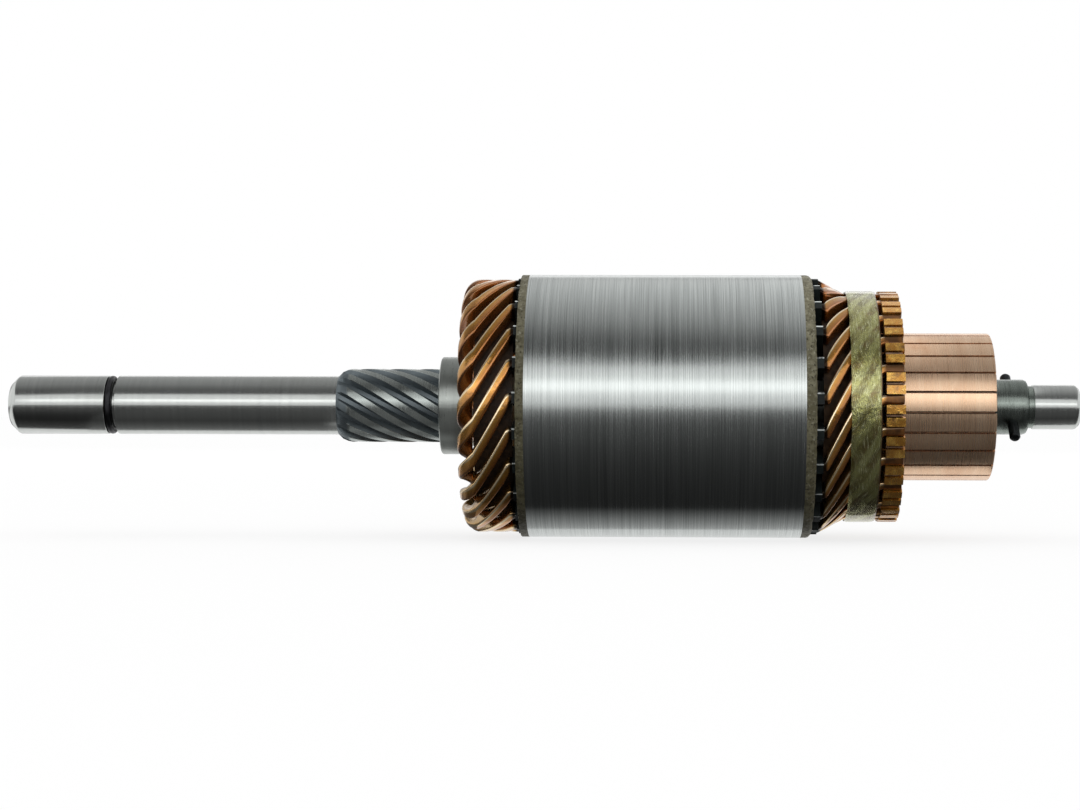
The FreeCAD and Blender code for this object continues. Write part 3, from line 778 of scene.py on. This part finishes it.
def drive_arm(radius, turn):
    arm = []
    steps = 14
    for step in range(steps):
        distance = DRIVE_LENGTH * step / steps
        share, rate = turn_profile(distance, DRIVE_PATH, SLOT_BEND, 0)
        arm.append((-DRIVE_BEND - distance, radius, turn * share, -1, 0, turn * rate))
    return arm


def nose_stations(turn):
    middle = (OUTER_BAR + INNER_BAR) / 2
    share, rate = turn_profile(DRIVE_LENGTH, DRIVE_PATH, SLOT_BEND, 0)
    nose = []
    steps = 18
    for step in range(steps + 1):
        bow = math.pi * step / steps
        x = -NOSE_START - NOSE_RADIUS * math.sin(bow)
        radius = middle + NOSE_RADIUS * math.cos(bow)
        angle = turn + (turn - turn * share) * (2 * step / steps - 1)
        nose.append((x, radius, angle, -math.cos(bow), -math.sin(bow), turn * rate))
    return nose


def bar_section(station, shrink=0.0):
    """a rounded rectangle across the bar"""
    x, radius, angle, along, outward, around_rate = station
    spoke = Vector((0, -math.cos(angle), -math.sin(angle)))
    tangent = Vector((0, math.sin(angle), -math.cos(angle)))
    height = (spoke * along - Vector((1, 0, 0)) * outward).normalized()
    middle = Vector((x, 0, 0)) + spoke * radius
    slant = math.hypot(1, around_rate * radius)
    half_width = BAR_WIDTH / 2 - shrink
    half_height = BAR_HEIGHT / 2 - shrink
    corner = (BAR_END_CORNER if x > RISER_START else BAR_CORNER) - shrink
    section = []
    for side, top, first in ((1, 1, 0), (-1, 1, 90), (-1, -1, 180), (1, -1, 270)):
        for step in range(CORNER_STEPS):
            turn = math.radians(first + 90 * step / (CORNER_STEPS - 1))
            across = side * (half_width - corner) + corner * math.cos(turn)
            up = top * (half_height - corner) + corner * math.sin(turn)
            section.append(middle + tangent * (across * slant) + height * up)
    return section


def reversed_way(stations):
    return [(x, r, a, -along, -outward, -rate) for x, r, a, along, outward, rate in reversed(stations)]


def hairpin():
    """one bar; its attributes across and outer tell a point's place in the section, from -1 to 1"""
    arm = drive_arm(OUTER_BAR, COIL_SPAN / 2)
    route = reversed_way(commutator_arm(OUTER_BAR, 0, -RISER_LEAD)) + arm + nose_stations(COIL_SPAN / 2)
    route += [(x, INNER_BAR, COIL_SPAN - angle, 1, 0, rate) for x, _, angle, _, _, rate in reversed(arm)]
    route += commutator_arm(INNER_BAR, COIL_SPAN, RISER_LEAD)
    first, last = (bar_section(station, END_ROUNDING) for station in (route[0], route[-1]))
    for point in first + last:
        point.x += END_BULGE
    rings = [first] + [bar_section(station) for station in route] + [last]
    tips = [[sum(ring, Vector()) / len(ring)] for ring in (first, last)]
    points, faces, _ = skin([tips[0]] + rings + [tips[1]])
    made = link_mesh("one_hairpin", points, faces, crease=50)
    flat = bar_section((0, 0, 0, 1, 0, 0))
    across = made.data.attributes.new("across", "FLOAT", "POINT")
    outer = made.data.attributes.new("outer", "FLOAT", "POINT")
    for i in range(len(rings) * len(flat)):
        corner = flat[i % len(flat)]
        across.data[i + 1].value = -corner.z / (BAR_WIDTH / 2)
        outer.data[i + 1].value = corner.y / (BAR_HEIGHT / 2)
    return made


def ring_of_pieces(name, one, material, uneven=0.0, seed=1):
    """sets copies of one piece evenly round the shaft axis, with a small unevenness and a tone for each"""
    tree = bpy.data.node_groups.new(name + "_layout", "GeometryNodeTree")
    face = tree.interface
    face.new_socket("Geometry", in_out="INPUT", socket_type="NodeSocketGeometry")
    settings = []
    for key, kind, value in (
        ("Count", "NodeSocketInt", SLOTS),
        ("First angle", "NodeSocketFloat", FIRST_SLOT),
        ("Unevenness", "NodeSocketFloat", uneven),
        ("Seed", "NodeSocketInt", seed),
        ("Finish", "NodeSocketMaterial", material),
    ):
        settings.append((face.new_socket(key, in_out="INPUT", socket_type=kind), value))
    face.new_socket("Geometry", in_out="OUTPUT", socket_type="NodeSocketGeometry")
    inner = node(tree, "NodeGroupInput").outputs
    outer = node(tree, "NodeGroupOutput").inputs

    def chance(low, high):
        inputs = {2: low, 3: high, "Seed": inner["Seed"]}
        return node(tree, "FunctionNodeRandomValue", inputs, data_type="FLOAT").outputs[1]

    spots = node(tree, "GeometryNodePoints", {"Count": inner["Count"]}).outputs[0]
    index = node(tree, "GeometryNodeInputIndex").outputs[0]
    step = math_node(tree, "DIVIDE", 2 * math.pi, inner["Count"])
    angle = times_plus(tree, index, step, inner["First angle"])
    angle = times_plus(tree, chance(-1.0, 1.0), inner["Unevenness"], angle)
    turn = node(tree, "ShaderNodeCombineXYZ", {0: angle}).outputs[0]
    tone = {"Geometry": spots, "Name": "tone", "Value": chance(0.0, 1.0)}
    toned = node(tree, "GeometryNodeStoreNamedAttribute", tone, data_type="FLOAT", domain="POINT").outputs[0]
    copies = {"Points": toned, "Instance": inner["Geometry"], "Rotation": turn}
    placed = node(tree, "GeometryNodeInstanceOnPoints", copies).outputs[0]
    real = node(tree, "GeometryNodeRealizeInstances", {"Geometry": placed}).outputs[0]
    painted = node(tree, "GeometryNodeSetMaterial", {"Geometry": real, "Material": inner["Finish"]})
    tree.links.new(painted.outputs[0], outer[0])
    layout = one.modifiers.new("layout", "NODES")
    layout.node_group = tree
    for socket, value in settings:
        layout[socket.identifier] = value
    bpy.context.view_layer.update()
    whole = bpy.data.meshes.new_from_object(one.evaluated_get(bpy.context.evaluated_depsgraph_get()))
    whole.name = name
    made = bpy.data.objects.new(name, whole)
    bpy.context.scene.collection.objects.link(made)
    one.modifiers.clear()
    bpy.data.objects.remove(one)
    return made


def attribute(tree, name):
    return node(tree, "ShaderNodeAttribute", attribute_name=name).outputs["Fac"]


def enamel_material():
    """copper under amber enamel: glossy on the arms, dull and olive on the bends, scorched at the risers;
    lit and shaded sides, a highlight line and the shade at the slots painted in
    """
    material, tree, surface = new_material(
        "enamelled_copper", Metallic=0.84, Coat_Roughness=0.05, Coat_IOR=1.65)
    tone, across, outer = (attribute(tree, name) for name in ("tone", "across", "outer"))
    x = places(tree)[0]
    blots = stain_mask(tree, 110.0, 0.42, 0.7, 30.0)
    runs = stain_mask(tree, 300.0, 0.45, 0.72, 31.0)
    # painted light: the side of each bar at negative across is painted a lighter gold as its lit side, its
    # edge made ragged by the blots
    wear_and_lit_side = times_plus(tree, blots, -0.35, across)
    # painted highlight: a pale cream line along the corner near across -0.7 on the outer face, standing for
    # its reflection and for the enamel worn thin there
    line = math_node(tree, "ABSOLUTE", math_node(tree, "ADD", across, 0.7))
    line = map_range(tree, line, 0.3, 0.12, 0.0, 0.9)
    outside = map_range(tree, outer, 0.55, 0.7)
    nose = fade(tree, x, -54.0, -58.0, 0.0, 0.55)
    # painted shade under the noses: their lower side is darkened almost to black
    under = map_range(tree, across, 0.55, 0.9, 0.0, 1.6)
    # painted shade: the bars are near black from just outside the drive disc to just outside the commutator
    # disc, where they run into the shaded slot mouths and are hidden in the slots
    drive_gap_shade = fade(tree, x, -44.7, -44.0, 0.0, 0.97)
    hidden_and_gap_shade = times(tree, drive_gap_shade, fade(tree, x, 46.4, 45.8))
    soldered = fade(tree, x, 61.8, 63.0, 0.0, 0.92)
    burnt = blend_colours(tree, runs, (0.11, 0.052, 0.026), (0.34, 0.14, 0.04))
    colour = blend_colours(tree, tone, (0.46, 0.165, 0.022), (0.69, 0.30, 0.042))
    colour = lay_over(
        tree, colour,
        # painted lit side of the bars
        (map_range(tree, wear_and_lit_side, 0.2, -0.5), (0.69, 0.34, 0.048)),
        # painted shade: the side face at across -1 is tinted olive, and the other side, across 0.3 to 0.9, a
        # darker red-brown
        (map_range(tree, across, -0.95, -1.0, 0.0, 0.8), (0.34, 0.215, 0.06)),
        (map_range(tree, across, 0.3, 0.9, 0.0, 0.8), (0.46, 0.155, 0.036)),
        (times(tree, runs, 0.4), (0.26, 0.10, 0.028)),
        # painted highlight line on the outer face
        (times(tree, line, outside), (1.0, 0.84, 0.56)),
        (nose, (0.34, 0.20, 0.065)),
        # painted shade under the noses
        (times(tree, under, nose, clamp=True), (0.09, 0.026, 0.008)),
        # painted shade at the slot mouths, and the hidden part in the slots
        (hidden_and_gap_shade, (0.006, 0.004, 0.003)),
        (soldered, burnt),
    )
    dull = math_node(tree, "MAXIMUM", nose, soldered)
    gloss = times_plus(tree, dull, 0.2, times_plus(tree, runs, 0.1, 0.14))
    bare = math_node(tree, "MAXIMUM", hidden_and_gap_shade, soldered)
    bare = times_plus(tree, nose, 0.78, bare, clamp=True)
    tree.links.new(times_plus(tree, bare, -0.7, 0.7), surface.inputs["Coat Weight"])
    finish_surface(tree, surface, colour, gloss, times_plus(tree, blots, 1.5, runs), 0.00003)
    return material


winding = ring_of_pieces("hairpin_winding", hairpin(), enamel_material(), uneven=math.radians(0.12), seed=4)
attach(winding, "root")
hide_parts(*[f"hairpin_{i:02d}" for i in range(1, SLOTS + 1)])

# Slot liners
# Dark pressed paper folded round the two bars of each slot, cut off a little outside the end discs.
# The cut edges are pale, along the lap of the fold and at both ends.
LINER_START = -43.35
LINER_END = 45.05
LINER_WALL = 0.3
LINER_PLAY = 0.05
LAP_EDGE = 0.42


def liner():
    """a square tube with its lap on the outer wall; the attribute called cut marks the pale edges"""
    half = SLOT_HALF - LINER_PLAY
    low, top = SLOT_LOW + LINER_PLAY, SLOT_TOP - LINER_PLAY
    inner_half, inner_low, inner_top = half - LINER_WALL, low + LINER_WALL, top - LINER_WALL
    lap = half - LAP_EDGE
    outside = [(half, low), (half, top), (lap, top), (-half, top), (-half, low)]
    inside = [
        (inner_half, inner_low), (inner_half, inner_top), (lap, inner_top), (-inner_half, inner_top),
        (-inner_half, inner_low),
    ]
    rings = []
    for x, *sections in ((LINER_START, inside, outside), (LINER_END, outside, inside)):
        rings += [[(x, -height, side) for side, height in section] for section in sections]
    points, faces, bands = skin(rings, closed=True)
    made = link_mesh("one_liner", points, faces)
    cut = made.data.attributes.new("cut", "FLOAT", "FACE")
    for face, band in enumerate(bands):
        on_lap = band == 1 and face % len(outside) == 1
        cut.data[face].value = 1.0 if band in (0, 2) or on_lap else 0.0
    return made


def paper_material(name, colour, other, roughness, edge=None):
    material, tree, surface = new_material(name, Specular_IOR_Level=0.3)
    blots = stain_mask(tree, 420.0, 0.35, 0.7, 40.0)
    shade = blend_colours(tree, blots, colour, other)
    if edge:
        frayed = stain_mask(tree, 330.0, 0.36, 0.5, 41.0)
        shade = blend_colours(tree, times(tree, attribute(tree, "cut"), frayed), shade, edge)
    gloss = times_plus(tree, blots, 0.15, roughness)
    finish_surface(tree, surface, shade, gloss, blots, 0.00006)
    return material


liner_paper = paper_material(
    "liner_paper", (0.004, 0.007, 0.007), (0.012, 0.019, 0.018), 0.55, edge=(0.70, 0.74, 0.72))
liners = ring_of_pieces("slot_liner_set", liner(), liner_paper, seed=5)
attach(liners, "root")
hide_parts("slot_liners")

# Insulation between the layers
# Paper wrapped round the inner layer of arms before the outer one was bent, soaked in dark varnish; its
# near-black colour is also painted shade between the bars.
# The imported solids are shown, with a new material.


def repaint(key, material):
    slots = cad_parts[key].data.materials
    slots.clear()
    slots.append(material)


# painted shade: the paper's near-black colour is its dark varnish and also the shade between the bars above
# it
layer_paper = paper_material("varnished_paper", (0.028, 0.017, 0.010), (0.075, 0.044, 0.023), 0.5)
repaint("drive_end_layer_insulation", layer_paper)
repaint("commutator_end_layer_insulation", layer_paper)

# Banding
# Glass roving soaked in resin, wound in several turns over the bent arms beside the risers and cured.
# Its edges waver, its strands lie unevenly, and the bars show through as slanted bands, the gaps between
# them painted in shade.
BAND_START = 52.8
BAND_END = 61.9
BAND_EDGE = 0.25
BAND_WAVER = 0.22
BAND_INSIDE = 33.7
BAND_OUTSIDE = 34.45
BAND_UNEVEN = 0.10
BAR_SLANT = RISER_LEAD / (RISER_START - END_BEND - SLOT_BEND / 2 - RISER_BEND / 2)


def band_point(share, angle):
    """a point of the outer face; share goes from the edge by the core to the one by the risers"""
    y, z = math.cos(angle), math.sin(angle)
    spot = Vector((share * 3.0, 2.2 * y, 2.2 * z))
    start = BAND_START + BAND_EDGE + BAND_WAVER * noise.noise(spot * 2.0 + Vector((7, 0, 0)))
    end = BAND_END - BAND_EDGE + BAND_WAVER * noise.noise(spot * 2.0 - Vector((3, 0, 0)))
    lump = noise.noise(spot * 1.3)
    strand = noise.noise(Vector((share * 26 + 1.2 * lump, 1.1 * y, 1.1 * z)))
    rounding = 0.25 * max(0.0, abs(share - 0.5) * 2 - 0.8) / 0.2
    radius = BAND_OUTSIDE - 0.06 - BAND_UNEVEN * (1 + 0.5 * lump + 0.5 * strand) - rounding
    return ring_point(start + (end - start) * share, radius, angle)


def band_ring():
    across = 44
    around = 360
    angles = [2 * math.pi * j / around for j in range(around)]
    rings = [[band_point(i / across, angle) for angle in angles] for i in range(across + 1)]
    for x in (BAND_END - 0.3, BAND_START + 0.3):
        rings.append([ring_point(x, BAND_INSIDE + 0.01, angle) for angle in angles])
    points, faces, _ = skin(rings, closed=True)
    return link_mesh("glass_band", points, faces, crease=60)


def band_material():
    """greenish resin over pearly strands that swerve round the band, with the gaps between the bars under it
    painted in shade
    """
    material, tree, surface = new_material(
        "glass_banding", Metallic=0.8, Coat_Weight=0.9, Coat_Roughness=0.08)
    spot = node(tree, "ShaderNodeTexCoord").outputs["Object"]
    drift = node(tree, "ShaderNodeTexNoise", {"Vector": spot, "Scale": 110.0, "Detail": 1.0}).outputs[0]
    sway = node(tree, "ShaderNodeCombineXYZ", {0: times_plus(tree, drift, 0.006, -0.003)})
    swerved = node(tree, "ShaderNodeVectorMath", {0: spot, 1: sway.outputs[0]}, operation="ADD").outputs[0]
    strands = line_marks(tree, 4200.0, 420.0, 50.0, swerved)["Fine"]
    clouds = stain_mask(tree, 170.0, 0.38, 0.62, 51.0)
    patches = stain_mask(tree, 240.0, 0.48, 0.66, 53.0)
    x, y, z = places(tree)
    around = math_node(tree, "ARCTAN2", times(tree, z, -1.0), times(tree, y, -1.0))
    slant = times_plus(tree, x, BAR_SLANT / MM, -BAR_SLANT * RISER_START - FIRST_SLOT)
    turns = times(tree, math_node(tree, "ADD", around, slant), SLOTS)
    ragged = math_node(tree, "COSINE", times_plus(tree, drift, 3.0, turns))
    bars = map_range(tree, ragged, -0.5, 0.6, interpolation_type="SMOOTHSTEP")
    colour = blend_colours(tree, clouds, (0.215, 0.19, 0.05), (0.35, 0.33, 0.10))
    colour = lay_over(
        tree, colour,
        (times(tree, patches, 0.6), (0.20, 0.105, 0.025)),
        # the band is lighter over the bars beneath it and darker over the gaps between them; the darker part
        # is painted shade of those gaps
        (times(tree, bars, 0.75), (0.50, 0.50, 0.18)),
        (map_range(tree, strands, 0.52, 0.68, 0.0, 0.65), (0.92, 0.94, 0.62)),
        (map_range(tree, strands, 0.44, 0.32, 0.0, 0.4), (0.09, 0.075, 0.02)),
        (fade(tree, x, 61.1, 61.6, 0.0, 0.85), (0.15, 0.055, 0.025)),
    )
    relief = times_plus(tree, clouds, 0.6, strands)
    finish_surface(tree, surface, colour, spread(tree, strands, 0.14, 0.26), relief, 0.00016)
    return material


banding = band_ring()
banding.data.materials.append(band_material())
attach(banding, "root")
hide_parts("coil_banding")

# Commutator segments
# Wedge bars of hard copper, hooked into the hub at both ends and turned together, each with a slotted
# riser that takes the ends of two hairpins.
BRUSH_END = 95.8
BRUSH_RADIUS = 21.8
BRUSH_EDGE = 0.6
HOOK_RADIUS = 18.8
HOOK_NECK = 17.0
HOOK_LENGTH = 3.2
ROOT_RADIUS = 15.5
ROOT_INSET = 1.0
RISER_RADIUS = 34.2
RISER_SLOT_LOW = 23.8
RISER_SLOT_HALF = 1.55
RISER_OVERLAP = 0.3
MICA_ANGLE = 2.0
HALF_WEDGE = math.radians((360 / SLOTS - MICA_ANGLE) / 2)
HOOKS = [
    (0, BRUSH_RADIUS - BRUSH_EDGE), (0, HOOK_RADIUS), (HOOK_LENGTH, HOOK_RADIUS), (HOOK_LENGTH, HOOK_NECK),
    (ROOT_INSET, HOOK_NECK), (ROOT_INSET, ROOT_RADIUS),
]
BAR_OUTLINE = [
    (RISER_START, RISER_SLOT_LOW), (RISER_END, RISER_SLOT_LOW), (RISER_END, BRUSH_RADIUS),
    (BRUSH_END - BRUSH_EDGE, BRUSH_RADIUS), (BRUSH_END - 0.2, BRUSH_RADIUS - 0.18),
    *[(BRUSH_END - inset, radius) for inset, radius in HOOKS],
    *[(RISER_START + inset, radius) for inset, radius in HOOKS[:0:-1]],
]


def segment():
    """the brush bar with its hooks, and two riser walls standing on it"""
    points = []
    faces = []

    def add_block(rings, flip=False):
        """skins rings of equal length and closes both ends"""
        block, skinned, _ = skin(rings)
        base, count = len(points), len(rings[0])
        points.extend(block)
        for face in skinned + [tuple(range(count))[::-1], tuple(range(len(block) - count, len(block)))]:
            moved = tuple(base + i for i in face)
            faces.append(moved[::-1] if flip else moved)

    angles = [HALF_WEDGE * (step / 4 - 1) for step in range(9)]
    add_block([[ring_point(x, radius, angle) for x, radius in BAR_OUTLINE] for angle in angles])
    foot = RISER_SLOT_LOW - RISER_OVERLAP
    foot_inside = math.asin(RISER_SLOT_HALF / foot)
    top_inside = math.asin(RISER_SLOT_HALF / RISER_RADIUS)
    outline = [(RISER_RADIUS, top_inside + (HALF_WEDGE - top_inside) * step / 3) for step in range(4)]
    outline += [(foot, HALF_WEDGE), (foot, foot_inside)]
    for side in (-1, 1):
        faces_of_wall = [
            [ring_point(x, radius, side * angle) for radius, angle in outline]
            for x in (RISER_START, RISER_END)]
        add_block(faces_of_wall, flip=side > 0)
    return link_mesh("one_segment", points, faces, crease=30)


def commutator_material():
    """bright turned copper on the brush track, amber varnish over the risers"""
    material, tree, surface = new_material("commutator_copper", Metallic=0.93, Coat_Roughness=0.1)
    marks = line_marks(tree, 3200.0, 60.0, 60.0)
    blots = stain_mask(tree, 90.0, 0.5, 0.8, 61.0)
    lumps = stain_mask(tree, 500.0, 0.4, 0.7, 62.0)
    grime = stain_mask(tree, 260.0, 0.52, 0.72, 63.0)
    varnish = fade(tree, places(tree)[0], 69.0, 68.2)
    both = times_plus(tree, marks["Broad"], 0.5, times(tree, marks["Fine"], 0.5))
    bare = blend_colours(tree, spread(tree, both, 0.0, 1.0), (0.80, 0.51, 0.325), (0.95, 0.69, 0.48))
    bare = blend_colours(tree, blots, bare, (0.72, 0.41, 0.24))
    amber = blend_colours(tree, lumps, (0.59, 0.27, 0.04), (0.93, 0.55, 0.115))
    amber = blend_colours(tree, grime, amber, (0.28, 0.14, 0.045))
    gloss = times_plus(tree, varnish, -0.04, spread(tree, marks["Fine"], 0.24, 0.34))
    relief = times_plus(tree, times(tree, lumps, varnish), 4.0, marks["Fine"])
    tree.links.new(times_plus(tree, varnish, -0.18, 0.93), surface.inputs["Metallic"])
    tree.links.new(times(tree, varnish, 0.6), surface.inputs["Coat Weight"])
    finish_surface(tree, surface, blend_colours(tree, varnish, bare, amber), gloss, relief, 0.00002)
    return material


commutator = ring_of_pieces("commutator_bars", segment(), commutator_material(), seed=7)
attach(commutator, "root")
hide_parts(*[f"commutator_segment_{i:02d}" for i in range(1, SLOTS + 1)])

# Hub and mica
# The hub is moulded round the hooks of the segments; mica sheets between the segments are cut back.
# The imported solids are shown, with new materials.
hub_moulding = paper_material("phenolic_moulding", (0.020, 0.012, 0.009), (0.045, 0.026, 0.018), 0.38)
mica_sheet = paper_material("mica_sheet", (0.20, 0.12, 0.075), (0.38, 0.24, 0.155), 0.5)
repaint("commutator_hub", hub_moulding)
repaint("mica_separators", mica_sheet)
